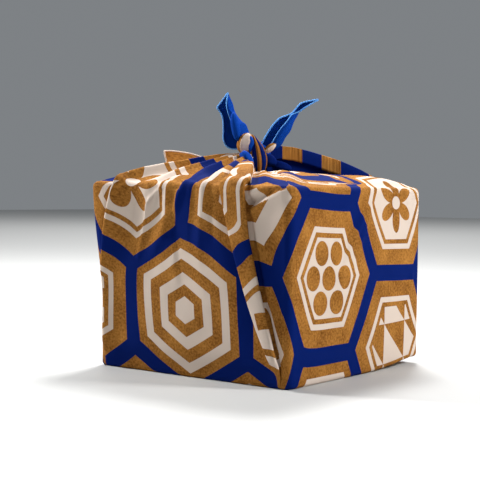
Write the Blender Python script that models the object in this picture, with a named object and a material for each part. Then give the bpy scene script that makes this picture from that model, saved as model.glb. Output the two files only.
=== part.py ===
"""Square cloth tied round a box-shaped parcel: one cloth, one filled solid.

The parcel stands on z = 0 with its middle at the origin. Its -Y and +Y faces carry the
two tied ends: each end fans in from a pleated panel to the square knot on the top. The
+X and -X faces are the plain ends, folded flat over the top under the tie.
"""
import math

import bmesh
import bpy
from mathutils import Vector

MM = 0.001

# Driving sizes
SIDE = 200 * MM          # width and depth of the parcel
HEIGHT = 156 * MM        # up to its top edges
CORNER_RADIUS = 6 * MM   # upright corners, in plan
EDGE_RADIUS = 5 * MM     # where a face turns over onto the top
FOOT_RADIUS = 3 * MM     # where a face turns under
FACE_CROWN = 2 * MM      # how far a face stands out at its middle
KNOT_X, KNOT_Y = -5 * MM, -4 * MM
KNOT_COLLAR = 10 * MM    # radius at which the gathered ends enter the knot
LOOSE_FOOT = 6 * MM      # how far the slack far corner (+X, +Y) hangs clear of the surface
LOOSE_REACH = 45 * MM    # how far round that corner the slack runs
PULLED = (-8 * MM, -5 * MM, 2.5 * MM)   # how far the tie pulls out the near top corner (-X, -Y)
PULLED_REACH = 38 * MM   # how far along the faces that pull shows
FOOT_EASE = 25.0         # mm above the foot within which the folds lie down
CLOTH = 2.4 * MM         # a free double layer of the cloth, as in the ears
FOLD_ROOM = 1.5          # mm: a fold's least distance to the corner's round and to its twin
BAND_UNDERCUT = 6.0      # mm by which the band behind overhangs the plain top beside it
BAND_EDGE_DROP = 9.0     # mm from the band's back down to its rolled edge
FRONT_EDGE_DROP = 3.0    # the same at the fan in front
BACK_SIDE_FOLD_FOOT = -99.0  # mm: the band behind runs in steeper: its side fold at the foot
BACK_SIDE_FOLD_TOP = -50.0   # and at the top edge
BACK_RIPPLE = 0.8        # how strong the fan's ridges are behind, against those in front
FULL_CREST = 0.35        # share of the way to the knot where the fan's ridges are at their highest
RIDGE_START, RIDGE_LENGTH = 0.08, 0.25   # the same shares for the ridges of the plain top
EDGE_DROP_FROM = 0.1     # the share of the way over which a tied end's edges go down
KNOT_FLATTENS = 0.6      # share of the folds' lift that the knot presses flat
PLEAT_DIVE = 19.0        # mm by which the pleat's right edge goes down under the knot's strap
DIVE_FROM, DIVE_TO = 0.45, 0.95          # shares of the way to the knot over which it does
LEFT_DIVE = 0.25         # share of that dive at the pleat's left edge
PULLED_FROM = 0.3        # share of the height from which the near top corner is pulled
LOOSE_UP_TO = 0.5        # share of the height up to which the far foot is slack
VIEW_TURN = 37.7         # degrees from +X to the ears' upright plane
NODE = "furoshiki_cloth"

# Fold lines of a tied face, mm across the face at each height (mm).
#        height  side_fold  pleat_left  pleat_right
FRONT = (
    (0.0,     -99.0,      94.0,       96.5),
    (20.0,    -98.5,      85.0,       91.5),
    (45.0,    -98.0,      72.0,       84.0),
    (70.0,    -96.0,      62.0,       76.5),
    (90.0,    -91.5,      54.5,       70.5),
    (115.0,   -87.0,      45.5,       63.5),
    (140.0,   -82.5,      38.0,       60.0),
    (156.0,   -78.0,      33.5,       57.5),
)

# How a tied end lies across its face, from the side fold (at 0) to the far corner.
# where: 0 to 1 across the named part; lift: mm out of the face; shift: mm along it.
#         part      where  lift  shift
TIED_LAY = (
    ("side",    0.30,  0.0,   0.0),
    ("side",    0.60,  0.0,   0.0),
    ("side",    0.88,  0.4,   0.4),
    ("panel",   0.0,   2.6,   0.0),
    ("panel",   0.03,  3.0,   0.0),
    ("panel",   0.10,  2.4,   0.0),
    ("panel",   0.17,  2.2,   0.0),
    ("panel",   0.24,  2.2,   0.0),
    ("panel",   0.31,  2.2,   0.0),
    ("panel",   0.38,  2.2,   0.0),
    ("panel",   0.45,  2.2,   0.0),
    ("panel",   0.52,  2.2,   0.0),
    ("panel",   0.59,  2.2,   0.0),
    ("panel",   0.66,  2.2,   0.0),
    ("panel",   0.73,  2.2,   0.0),
    ("panel",   0.80,  2.2,   0.0),
    ("panel",   0.87,  2.0,   0.0),
    ("panel",   0.94,  1.8,   0.0),
    ("panel",   0.985, 2.4,   0.3),
    ("pleat",   0.0,   4.4,  -0.3),
    ("pleat",   0.08,  5.4,   0.0),
    ("pleat",   0.3,   5.8,   0.0),
    ("pleat",   0.55,  5.8,   0.0),
    ("pleat",   0.8,   5.4,   0.0),
    ("pleat",   0.95,  4.4,   0.2),
    ("pleat",   1.0,   2.2,  -0.3),
    ("wrap",    0.06,  0.3,  -0.9),
    ("wrap",    0.2,   0.0,   0.0),
    ("wrap",    0.5,   0.0,   0.0),
    ("wrap",    0.8,   0.0,   0.0),
)

# Ridges of the gathered fan. across: where each meets the top edge, 0 to 1 over the panel;
# drift: how far it leans towards the side fold lower down, as a share of the panel; rise: mm
# at the top edge; crest: mm over the top; width: share of the panel; reach: mm down the face.
#        across  drift  rise  crest  width  reach
FAN = (
    (0.03,   0.00,  1.2,  4.0,   0.045,  95.0),
    (0.30,   0.06,  1.5,  4.0,   0.050,  60.0),
    (0.62,   0.36,  3.0,  4.5,   0.045,  85.0),
    (0.86,   0.05,  1.2,  3.5,   0.055,  50.0),
)
# Valleys between them, in the same terms but downwards.
VALLEYS = (
    (0.17,   0.02,  0.8,  3.5,   0.060,  60.0),
    (0.46,   0.16,  1.0,  3.5,   0.060,  70.0),
    (0.735,  0.09,  1.6,  5.0,   0.050,  80.0),
)

# Height over the top edge, mm, along a line from the edge (0) to the knot (1).
#              along   plain  front  back
TOP_RISE = (
    (0.00,      0.0,   0.0,   5.0),
    (0.06,      2.0,   2.5,   7.5),
    (0.15,      5.0,   6.0,  10.5),
    (0.30,      8.5,  10.0,  15.5),
    (0.45,     10.0,  14.0,  20.5),
    (0.60,     11.0,  18.5,  25.5),
    (0.75,     11.5,  22.0,  29.5),
    (0.88,     11.5,  24.0,  31.0),
    (1.00,     11.0,  25.0,  28.0),
)


# Soft ridges of the plain end's top, from the pleat (-1) past the corner (0) to the far corner
# (1): where each runs, its width in the same terms, its height and how far along it peaks.
#        where   width  height  peak
PLAIN_RIDGES = (
    (-0.55,  0.22,  3.0,  0.30),
    (0.10,   0.07,  3.0,  0.35),
    (0.34,   0.10,  1.6,  0.50),
    (0.85,   0.12,  3.0,  0.10),
)

# The two free ends stand up from the knot as half-open leaves. Rows run root to tip, in mm in the
# upright plane that faces the front corner: rim_x and rim_z are one side of the leaf, back_x and
# back_z the other, depth is its belly behind that plane and lean carries it forwards.
#        rim_x  rim_z  back_x  back_z  depth  lean
LEFT_EAR = (
    (-13.0, 187.0,  -5.0, 186.0,  3.0,  0.0),
    (-23.0, 188.5, -10.0, 191.0,  4.5,  0.0),
    (-31.0, 191.5, -13.0, 196.0,  6.0, -0.5),
    (-35.0, 197.5, -13.5, 201.5,  7.0, -1.0),
    (-36.5, 206.0, -15.5, 207.0,  7.0, -1.5),
    (-37.5, 213.5, -20.5, 214.0,  6.5, -1.0),
    (-40.0, 221.0, -25.0, 220.0,  5.0,  0.0),
    (-39.5, 227.0, -28.0, 226.0,  4.0,  1.0),
    (-36.5, 232.5, -31.0, 232.0,  2.6,  1.5),
    (-34.5, 237.0, -32.5, 237.0,  1.2,  2.0),
)
RIGHT_EAR = (
    (-4.0,  187.0,   4.0, 183.0,  3.0,  0.0),
    (-2.0,  193.0,   9.0, 187.5,  4.0,  0.5),
    (1.5,   199.0,  13.0, 191.5,  5.0,  1.0),
    (5.5,   205.0,  18.0, 197.0,  5.5,  1.5),
    (12.0,  212.5,  21.5, 203.5,  5.5,  2.0),
    (19.5,  217.0,  25.0, 210.5,  4.5,  1.5),
    (24.5,  221.0,  28.5, 216.0,  3.4,  0.5),
    (29.5,  226.5,  33.5, 221.5,  3.4, -0.5),
    (36.0,  230.0,  39.0, 226.5,  2.4, -1.0),
    (45.5,  231.8,  46.0, 230.4,  1.0, -1.5),
)
EAR_SWEEP = (180, 155, 130, 105, 80, 55, 30, 5, -20, -45, -70)   # degrees round the leaf's section
EAR_THIN = 0.7           # its cloth is at most this share of the section's depth and half width

# The knot: lobes of the two crossed ends, in the ears' upright plane (across, behind, up), each an
# egg with its half sizes, mm, and the tilt of its long axis down from level, degrees.
#        name      across  behind    z      long  wide  deep  tilt
KNOT = (
    ("core",        -6.0,    0.0,  181.0,  13.0, 12.5, 12.0,   0.0),
    ("wrap",        -6.0,   -7.5,  182.5,  16.5,  9.5,  7.5,  70.0),
    ("shoulder",   -16.5,   -4.5,  191.5,  10.5,  8.0,  8.5, 118.0),
    ("heel",         3.0,   -2.0,  188.5,   8.5,  6.0,  6.5, -35.0),
    ("back_wrap",   -3.0,    8.0,  183.0,  14.0,  9.0,  7.0, 115.0),
)

# The corner of the flap beneath, standing up beside the fan. Rows along it, mm.
#        y      foot_x  top_x   top_z
FLAP = (
    (-33.0,  -82.0,  -87.0,  186.5),
    (-22.0,  -83.0,  -88.0,  186.0),
    (-8.0,   -83.5,  -89.0,  185.0),
    (6.0,    -83.0,  -88.0,  183.0),
    (20.0,   -81.0,  -85.0,  180.0),
    (32.0,   -78.0,  -80.0,  174.0),
)
FLAP_FOOT = 158.0        # mm: where the standing flap starts, inside the parcel's top
FLAP_BELLY = 0.8         # mm by which it bows at half its height

# Rings of the parcel's skin, from the foot to the knot
FOOT_RINGS = (0.35, 0.7)                 # underneath, as shares of the foot's outline
FOOT_TURNS = (1.0, 0.5, 0.0)             # round the foot, as shares of a quarter turn
SIDE_STEPS = 13
EDGE_TURNS = (0.0, 0.35, 0.7, 1.0)       # round the top edge
TOP_STEPS = (0.06, 0.14, 0.24, 0.35, 0.47, 0.6, 0.72, 0.84, 0.93, 1.0)


def between(table, at, column):
    """Read one column of a table at a value of its first column."""
    if at <= table[0][0]:
        return table[0][column]
    for low, high in zip(table, table[1:]):
        if at <= high[0]:
            share = (at - low[0]) / (high[0] - low[0])
            return low[column] + share * (high[column] - low[column])
    return table[-1][column]


def ease(value):
    value = min(1.0, max(0.0, value))
    return value * value * (3 - 2 * value)


def ripple(across, height, along, which):
    """Lift in mm of the fan's ridges less its valleys, on the face or over the top."""
    total = 0.0
    for rows, sign in ((FAN, 1.0), (VALLEYS, -1.0)):
        for start, drift, rise, crest, width, reach in rows:
            below = max(0.0, HEIGHT / MM - height)
            middle = start - drift * below / reach
            fade = 1.0 - ease(below / reach)
            size = rise + (crest - rise) * ease(along / FULL_CREST)
            near = math.exp(-((across - middle) / width) ** 2)
            total += sign * size * fade * near
    return total * (1.0 if which == "front" else BACK_RIPPLE)


def fold_lines(height, which):
    """Side fold and the pleat's two edges at a height, all in mm and clear of the corners."""
    side = between(FRONT, height, 1)
    if which == "back":
        run_in = (BACK_SIDE_FOLD_TOP - BACK_SIDE_FOLD_FOOT) * MM / HEIGHT
        side = BACK_SIDE_FOLD_FOOT + run_in * height
    edge = (SIDE / 2 - CORNER_RADIUS) / MM
    left = min(between(FRONT, height, 2), edge - 3 * FOLD_ROOM)
    return max(side, FOLD_ROOM - edge), left, min(between(FRONT, height, 3), edge - FOLD_ROOM)


def tied_station(row, height, along, which):
    """Place along the face and lift out of it, in mm, of one row of the lay table."""
    part, where, lift, shift = row
    side, left, right = fold_lines(height, which)
    edge = (SIDE / 2 - CORNER_RADIUS) / MM
    spans = {"side": (-edge, side), "panel": (side, left), "pleat": (left, right), "wrap": (right, edge)}
    start, end = spans[part]
    if part == "panel":
        lift += ripple(where, height, along, which)
    foot = ease(height / FOOT_EASE)
    return start + where * (end - start) + shift * foot, lift * foot


class Column:
    """One upright line of the parcel's skin, from the foot over the edge to the knot."""

    def __init__(self, kind, row=None, centre=(0.0, 0.0), angle=0.0, turn=0.0):
        self.kind = kind        # front, back, plain or corner
        self.row = row
        self.centre = centre
        self.angle = angle      # direction of the face's normal
        self.turn = turn        # half turn that takes the front to the back

    def base(self, height, along=0.0):
        """Point on the box's outline, its outward normal and the lift there."""
        half = SIDE / 2
        if self.kind in ("front", "back"):
            place, lift = tied_station(self.row, height, along, self.kind)
            point, normal = Vector((place * MM, -half)), Vector((0, -1))
        elif self.kind == "plain":
            point, normal, lift = Vector((half, self.row)), Vector((1, 0)), 0.0
        else:
            normal = Vector((math.cos(self.angle), math.sin(self.angle)))
            point, lift = Vector(self.centre) + normal * CORNER_RADIUS, 0.0
        crown = FACE_CROWN * (1 - (point.x / half) ** 2 * (point.y / half) ** 2)
        crown *= math.sin(math.pi * min(1.0, height * MM / HEIGHT))
        if self.turn:
            point, normal = -point, -normal
        return point, normal, lift * MM + crown


def plain_rows():
    steps = 14
    reach = SIDE / 2 - CORNER_RADIUS
    return [-reach + 2 * reach * (step + 0.5) / steps for step in range(steps)]


def columns():
    """Every column round the parcel: front, plain, back, plain, with corners between."""
    reach = SIDE / 2 - CORNER_RADIUS
    corner_angles = [math.radians(-90 + 90 * step / 4) for step in range(5)]
    half_round = []
    for kind, turn in (("front", 0), ("back", 1)):
        half_round += [Column(kind, row=row, turn=turn) for row in TIED_LAY]
        half_round += [Column("corner", centre=(reach, -reach), angle=a, turn=turn)
                       for a in corner_angles]
        half_round += [Column("plain", row=y, turn=turn) for y in plain_rows()]
        half_round += [Column("corner", centre=(reach, reach), angle=a + math.pi / 2, turn=turn)
                       for a in corner_angles]
    return half_round


def plain_place(column):
    """Share of the plain top's width: -1 at the pleat, 0 at the near corner, 1 at the far one."""
    if column.kind == "plain":
        return 0.5 + 0.5 * column.row / (SIDE / 2)
    if column.kind == "corner":
        return 0.0 if column.centre[1] < 0 else 1.0
    part, where = column.row[0], column.row[1]
    return where - 1.0 if part == "wrap" else 1.0 + where


def rise(column, along):
    """Height over the top edge in metres of a column on its way to the knot."""
    tied = column.kind in ("front", "back") and column.row[0] in ("panel", "pleat")
    if not tied:
        height = between(TOP_RISE, along, 1)
        for where, width, size, peak in PLAIN_RIDGES:
            near = math.exp(-((plain_place(column) - where) / width) ** 2)
            near *= math.exp(-((along - peak) / RIDGE_LENGTH) ** 2)
            height += size * near * ease(along / RIDGE_START)
        return height * MM
    height = between(TOP_RISE, along, 2 if column.kind == "front" else 3)
    part, where = column.row[0], column.row[1]
    if (part, where) == ("panel", 0.0) or (part, where) == ("pleat", 1.0):
        drop = BAND_EDGE_DROP if column.kind == "back" else FRONT_EDGE_DROP
        height -= drop * ease(along / EDGE_DROP_FROM)
    if part == "pleat" and column.kind == "front":
        way = ease((along - DIVE_FROM) / (DIVE_TO - DIVE_FROM))
        height -= PLEAT_DIVE * (LEFT_DIVE + (1 - LEFT_DIVE) * where) * way
    lift = tied_station(column.row, HEIGHT / MM, along, column.kind)[1]
    return (height + lift * (1 - KNOT_FLATTENS * ease(along))) * MM


def settle(spot, height):
    """Add the slack at the far foot and the pull at the near top corner to a point."""
    half = SIDE / 2
    far = math.hypot(spot.x - half, spot.y - half) / LOOSE_REACH
    near = math.hypot(spot.x + half, spot.y + half) / PULLED_REACH
    pull = math.exp(-near ** 2) * ease((height / HEIGHT - PULLED_FROM) / (1 - PULLED_FROM))
    slack = LOOSE_FOOT * math.exp(-far ** 2) * (1 - ease(height / HEIGHT / LOOSE_UP_TO))
    return Vector((spot.x, spot.y, height + slack)) + Vector(PULLED) * pull


def side_point(column, height):
    point, normal, lift = column.base(height / MM)
    return settle(point + normal * lift, height)


def foot_point(column, turn):
    point, normal, _ = column.base(0.0)
    spot = point - normal * FOOT_RADIUS * (1 - math.cos(turn))
    return settle(spot, FOOT_RADIUS * (1 - math.sin(turn)))


def edge_point(column, turn):
    point, normal, lift = column.base(HEIGHT / MM)
    up = rise(column, 0.0)
    spot = point - normal * EDGE_RADIUS + normal * (EDGE_RADIUS + lift) * math.cos(turn)
    return settle(spot, HEIGHT - EDGE_RADIUS + (EDGE_RADIUS + up) * math.sin(turn))


def top_point(column, along):
    point, normal, _ = column.base(HEIGHT / MM, along)
    start = point - normal * EDGE_RADIUS
    if column.kind == "back" and column.row[0] in ("side", "wrap"):
        under = {"side": column.row[1] ** 3, "wrap": -(1 - column.row[1]) ** 3}[column.row[0]]
        start.x -= under * BAND_UNDERCUT * MM * ease(along / 0.12)
    knot = Vector((KNOT_X, KNOT_Y))
    end = knot + (start - knot).normalized() * KNOT_COLLAR
    return settle(start.lerp(end, along), HEIGHT + rise(column, along))


def loft(rings, name, open_section=False):
    """Join rings of points into one closed mesh; an open section is two skins back to back."""
    mesh = bpy.data.meshes.new(name)
    bm = bmesh.new()
    rows = [[bm.verts.new(point) for point in ring] for ring in rings]
    count = len(rows[0])
    for low, high in zip(rows, rows[1:]):
        for here in range(count):
            after = (here + 1) % count
            bm.faces.new((low[here], low[after], high[after], high[here]))
    for row in (rows[0], rows[-1]) if open_section else ():
        for here in range(count // 2 - 1):
            bm.faces.new((row[here], row[here + 1], row[count - 2 - here], row[count - 1 - here]))
    for row, flip in () if open_section else ((rows[0], True), (rows[-1], False)):
        middle = bm.verts.new(sum((v.co for v in row), Vector()) / count)
        for here in range(count):
            pair = (row[here], row[(here + 1) % count])
            bm.faces.new((middle, *(reversed(pair) if flip else pair)))
    bmesh.ops.triangulate(bm, faces=bm.faces)
    bmesh.ops.recalc_face_normals(bm, faces=bm.faces)
    bm.to_mesh(mesh)
    bm.free()
    thing = bpy.data.objects.new(name, mesh)
    bpy.context.scene.collection.objects.link(thing)
    return thing


def parcel():
    every = columns()
    quarter = math.pi / 2
    feet = [[foot_point(c, turn * quarter) for c in every] for turn in FOOT_TURNS]
    rings = [[Vector((p.x * share, p.y * share, 0.0)) for p in feet[0]] for share in FOOT_RINGS]
    rings += feet
    sides = [HEIGHT * step / SIDE_STEPS for step in range(1, SIDE_STEPS)]
    rings += [[side_point(c, z) for c in every] for z in sides if z < HEIGHT - EDGE_RADIUS]
    rings += [[edge_point(c, turn * quarter) for c in every] for turn in EDGE_TURNS]
    rings += [[top_point(c, along) for c in every] for along in TOP_STEPS]
    return loft(rings, NODE)


def facing(across, depth, height):
    """Point given in the ears' upright plane: across it, behind it and up, all in mm."""
    turn = math.radians(VIEW_TURN)
    ahead = Vector((-math.sin(turn), math.cos(turn)))
    spot = Vector((math.cos(turn), math.sin(turn))) * across + ahead * depth
    return Vector((spot.x, spot.y, height)) * MM


def ear(rows, name):
    """A half-open leaf of doubled cloth: a horseshoe section swept from root to tip."""
    rings = []
    for rim_x, rim_z, back_x, back_z, depth, lean in rows:
        middle = ((rim_x + back_x) / 2, (rim_z + back_z) / 2)
        half = ((back_x - rim_x) / 2, (back_z - rim_z) / 2)
        thick = min(CLOTH / MM, EAR_THIN * depth, EAR_THIN * math.hypot(*half))
        skins = []
        for inset in (0.0, thick):
            across = 1 - inset / math.hypot(*half)
            skin = []
            for degrees in EAR_SWEEP:
                turn = math.radians(degrees)
                side = across * math.cos(turn)
                skin.append(facing(middle[0] + half[0] * side,
                                   (depth - inset) * math.sin(turn) - lean,
                                   middle[1] + half[1] * side))
            skins.append(skin)
        rings.append(skins[0] + skins[1][::-1])
    return loft(rings, name, open_section=True)


def egg(name, across, behind, z, long, wide, deep, tilt):
    mesh = bpy.data.meshes.new(name)
    bm = bmesh.new()
    bmesh.ops.create_uvsphere(bm, u_segments=20, v_segments=12, radius=MM)
    bm.to_mesh(mesh)
    bm.free()
    thing = bpy.data.objects.new(name, mesh)
    thing.location = facing(across, behind, z)
    thing.scale = (long, deep, wide)
    thing.rotation_euler = (0.0, math.radians(tilt), math.radians(VIEW_TURN))
    bpy.context.scene.collection.objects.link(thing)
    return thing


def flap():
    """The flap's free corner, a thick sheet standing along the top of one plain side."""
    rings = []
    for y, foot_x, top_x, top_z in FLAP:
        half = CLOTH / MM / 2
        ring = [(foot_x - half, FLAP_FOOT), (foot_x + half, FLAP_FOOT),
                ((foot_x + top_x) / 2 + half + FLAP_BELLY, (FLAP_FOOT + top_z) / 2),
                (top_x + half, top_z), (top_x - half, top_z),
                ((foot_x + top_x) / 2 - half + FLAP_BELLY, (FLAP_FOOT + top_z) / 2)]
        rings.append([Vector((x, y, z)) * MM for x, z in ring])
    return loft(rings, "flap")


def join(body, others):
    """Fuse the others into the body, one at a time, and keep them out of sight."""
    for other in others:
        fuse = body.modifiers.new(other.name, "BOOLEAN")
        fuse.operation = "UNION"
        fuse.solver = "EXACT"
        fuse.object = other
        other.hide_render = True
        other.display_type = "WIRE"


def main():
    for thing in list(bpy.data.objects):
        bpy.data.objects.remove(thing, do_unlink=True)
    body = parcel()
    lobes = [egg(*row) for row in KNOT]
    join(body, lobes + [ear(LEFT_EAR, "left_ear"), ear(RIGHT_EAR, "right_ear"), flap()])
    finish = bpy.data.materials.new("printed_cloth")
    finish.use_nodes = True
    shader = finish.node_tree.nodes["Principled BSDF"]
    shader.inputs["Base Color"].default_value = (0.40, 0.25, 0.10, 1.0)
    shader.inputs["Roughness"].default_value = 0.75
    shader.inputs["Metallic"].default_value = 0.0
    body.data.materials.append(finish)


main()
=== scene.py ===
"""The looks of the tied furoshiki: its cloth as one printed sheet, the light and the camera.

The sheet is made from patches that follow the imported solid: the skin round the parcel with its
fold lines and gathers, the tucked corners, the free flap, the knot and the two standing ends.
Every patch carries its place on the flat cloth, in metres from the cloth's middle, in the map
"flat_cloth", and the print is worked out from that map.
"""
import math

import bpy
import numpy as np
from mathutils import Matrix, Vector


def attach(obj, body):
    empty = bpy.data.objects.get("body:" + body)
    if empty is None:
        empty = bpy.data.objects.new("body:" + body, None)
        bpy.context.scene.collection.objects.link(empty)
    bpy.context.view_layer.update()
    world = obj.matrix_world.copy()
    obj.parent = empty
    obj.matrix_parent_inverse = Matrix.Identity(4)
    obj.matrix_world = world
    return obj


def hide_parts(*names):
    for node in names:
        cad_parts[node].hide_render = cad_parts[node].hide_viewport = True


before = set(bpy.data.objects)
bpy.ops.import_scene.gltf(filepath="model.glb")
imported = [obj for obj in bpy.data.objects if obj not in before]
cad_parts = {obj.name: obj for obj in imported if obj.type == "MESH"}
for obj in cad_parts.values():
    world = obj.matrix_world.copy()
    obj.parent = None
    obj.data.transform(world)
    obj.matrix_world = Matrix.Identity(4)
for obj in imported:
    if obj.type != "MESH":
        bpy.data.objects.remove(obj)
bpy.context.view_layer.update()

MM = 0.001
NODE = "furoshiki_cloth"

# Sizes shared with the solid. "way" is the share of the way from the top edge to the knot.
SIDE = 200 * MM          # width and depth of the parcel
HEIGHT = 156 * MM        # up to its top edges
CORNER_RADIUS = 6 * MM   # upright corners, in plan
EDGE_RADIUS = 5 * MM     # where a face turns over onto the top
FOOT_RADIUS = 3 * MM     # where a face turns under
FACE_CROWN = 2 * MM      # how far a face stands out at its middle
KNOT = np.array([-5 * MM, -4 * MM])
KNOT_COLLAR = 10 * MM    # radius at which the gathered ends enter the knot
LOOSE_FOOT, LOOSE_REACH = 6 * MM, 45 * MM   # the slack at the far foot: its height and reach
PULLED, PULLED_REACH = (-8 * MM, -5 * MM, 2.5 * MM), 38 * MM   # and the near top corner's pull
LOOSE_UP_TO, PULLED_FROM = 0.5, 0.3         # shares of the height
FOOT_EASE = 25.0         # mm above the foot within which the folds lie down
FOLD_ROOM = 1.5          # mm: a fold's least distance to the corner's round
BACK_SIDE_FOLD_FOOT, BACK_SIDE_FOLD_TOP = -99.0, -50.0   # mm across the face behind
BAND_UNDERCUT = 6.0      # mm by which the band behind overhangs the plain top beside it
UNDERCUT_FULL = 0.12     # the way from which it does so in full
BAND_EDGE_DROP, FRONT_EDGE_DROP = 9.0, 3.0  # mm down to a tied end's rolled edges
EDGE_DROP_FULL = 0.1     # the way from which they lie so deep
BACK_RIPPLE = 0.8        # how strong the fan's ridges are behind, against those in front
FULL_CREST = 0.35        # the way from which they are at their highest
KNOT_FLATTENS = 0.6      # share of the folds' lift that the knot presses flat
RIDGE_START, RIDGE_LENGTH = 0.08, 0.25      # the way taken by the ridges of the plain top
PLEAT_DIVE = 19.0        # mm by which the pleat's right edge goes down under the strap
DIVE_FROM, DIVE_TO = 0.45, 0.95             # the way over which it does
LEFT_DIVE = 0.25         # share of that dive at the pleat's left edge
VIEW_TURN = 37.7         # degrees from +X to the ears' upright plane

# The cloth, flat
CLOTH_SIDE = 700 * MM
CLOTH_TIP = CLOTH_SIDE / math.sqrt(2)       # from its middle to a corner
GATHER = 0.5             # how much narrower a tied end's print looks at the knot
CORNER_CLOTH = 12 * MM   # cloth that goes round an upright corner
EDGE_CLOTH = 2 * EDGE_RADIUS                # and over a top edge
BACK_PLEAT_SLIP = 26.0   # mm by which the print on the pleat behind has slid from its face

# Fold lines of a tied face, mm across it at each height (mm).
# height   side  left right
FRONT = (
    (  0,   -99,   94, 96.5),
    ( 20, -98.5,   85, 91.5),
    ( 45,   -98,   72,   84),
    ( 70,   -96,   62, 76.5),
    ( 90,   -91, 54.5, 70.5),
    (115,   -85, 45.5, 63.5),
    (140,   -78,   38,   60),
    (156,   -73, 33.5, 57.5),
)

# How a tied end lies across its face, from one upright corner to the other.
# where: 0 to 1 across the part; lift: mm out of the face; shift: mm along it; steps: columns to
# the next row.
#        where  lift shift steps
TIED_LAY = {
    "side": (
        ( 0.05,    0,    0,    4),
        ( 0.55,    0,    0,    4),
        ( 0.95, -2.4,  0.8,    2),
        (    1, -1.6,  2.2,    2),
    ),
    "panel": (
        (    0,  2.2,  0.9,    2),
        (    0,  4.4,  0.2,    2),
        (0.012,  5.6,    0,    2),
        ( 0.03,  5.2,    0,    3),
        ( 0.06,    4,    0,    4),
        ( 0.12,  2.4,    0,    6),
        (  0.2,  2.4,    0,    8),
        (  0.3,  2.2,    0,    8),
        (  0.4,  2.2,    0,    8),
        (  0.5,  2.2,    0,    8),
        (  0.6,  2.2,    0,    8),
        (  0.7,  2.2,    0,    8),
        (  0.8,  2.2,    0,    8),
        (  0.9,  1.8,    0,    6),
        ( 0.97, -0.2,    0,    3),
        (    1, -0.8,  1.2,    2),
    ),
    "pleat": (
        (    0,  3.2,  0.9,    2),
        (    0,  5.2,    0,    2),
        ( 0.05,  6.4,    0,    3),
        (  0.2,  6.8,    0,    4),
        (  0.5,  6.8,    0,    4),
        (  0.8,  6.4,    0,    3),
        ( 0.96,  5.6,    0,    2),
        (    1,  4.4,  0.2,    2),
        (    1,  2.4, -0.8,    2),
    ),
    "wrap": (
        (    0,  0.2, -2.8,    2),
        (    0, -3.4, -1.4,    2),
        ( 0.03,   -3,    0,    2),
        (  0.1, -0.4,    0,    3),
        (  0.3,    0,    0,    6),
        (  0.6,    0,    0,    6),
        ( 0.95,    0,    0,    2),
    ),
}

# Ridges (+) and valleys (-) of the fan. across: where each meets the top edge; drift: lean lower
# down, as a share of the panel; rise: mm at the top edge; crest: mm over the top; width: share
# of the panel; reach: mm down the face.
#  sign across drift rise crest  width reach
FAN = (
    ( 1,  0.03,    0, 1.2,    4, 0.045,   95),
    ( 1,   0.3, 0.06, 1.5,    4,  0.05,   60),
    ( 1,  0.62, 0.36,   3,  4.5, 0.045,   85),
    ( 1,  0.86, 0.05, 1.2,  3.5, 0.055,   50),
    (-1,  0.17, 0.02, 0.8,  3.5,  0.06,   60),
    (-1,  0.46, 0.16,   1,  3.5,  0.06,   70),
    (-1, 0.735, 0.09, 1.6,    5,  0.05,   80),
)

# Height over the top edge, mm, along the way from the edge (0) to the knot (1).
#     way plain front  back
TOP_RISE = (
    (   0,    0,    0,    5),
    (0.06,    2,  2.5,  7.5),
    (0.15,    5,    6, 10.5),
    ( 0.3,  8.5,   10, 15.5),
    (0.45,   10,   14, 20.5),
    ( 0.6,   11, 18.5, 25.5),
    (0.75, 11.5,   22, 29.5),
    (0.88, 11.5,   24,   31),
    (   1,   11,   25,   28),
)

# Soft ridges of the plain end's top, from the pleat (-1) past the near corner (0) to the far one
# (1). height: mm; peak: the way at which it is highest.
#    where width height  peak
PLAIN_RIDGES = (
    (-0.55, 0.22,     3,  0.3),
    (  0.1, 0.07,     3, 0.35),
    ( 0.34,  0.1,   1.6,  0.5),
    ( 0.85, 0.12,     3,  0.1),
)

# Soft creases of the faces, in mm along a face and up it, from one end to the other.
# ridge: height of a rounded ridge (or, below 0, a trough); step: how much further out the cloth
# stands on its left side than on its right, halved; width: mm.
#         x0   z0   x1     z1 ridge  step width
CREASES = {
    "front": (
        (-27, 160, -41,   140,  3.4,  1.2,  2.4),
        (-41, 140, -51,   100,    3,  1.6,  1.8),
        (-33, 152, -43,   112, -1.8,    0,    5),
        (-57, 138, -63,   104, -1.6,    0,    5),
        (-72, 158, -80,   122,  1.8,    0,    3),
        (-64, 160, -72,   130, -1.4,    0,  3.5),
        ( -9, 161, -16,   140,   -3,    0,    3),
        (-16, 142, -15,   108, -2.2,    0,  2.6),
        (-22, 158, -25,   116,  1.8,    0,  3.6),
        (-14, 110,  -8,    78,  0.5,   -1,  1.8),
        (  2, 158,   1,   118,  1.6,    0,    4),
        ( 22, 157,  26,   118, -2.2,    0,  2.8),
        ( 15, 157,  14,   108,  1.8,    0,  3.6),
        (-30,  96, -18,    52,  0.9,    0,    7),
        ( 14, 100,  20,    62,  0.9,    0,    7),
    ),
    "wrap": (
        ( 54, 133,  94,   154,  3.2, -2.4,  1.6),
        ( 60, 142,  84, 154.5, -3.6,    0,  2.8),
        ( 64, 150,  78,   157,  3.2,    0,  4.5),
        ( 74,  34,  92,    12,  1.6,    0,    3),
    ),
    "plain": (
        ( -4, 128, -33,    86,  2.2,  0.7,  2.4),
        (-10, 126, -38,    84, -1.4,    0,    3),
        ( 12, 140, -12,    96,  1.4,    0,    3),
        (-34,  80, -36,    52,  1.2,    0,    3),
        ( 83,  76,  78,    56,  1.2,    0,  2.5),
        ( 60, 138,  48,   100,  0.8,    0,    5),
        ( 96, 120,  84,    96,    1,    0,    4),
        (-88, 150, -60,   158,    1,    0,    4),
    ),
}
CREASE_ROUND = 0.3       # how round a ridge's top is, in its widths
CREASE_PAST = 3.0        # the widths over which it dies out past its ends
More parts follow.
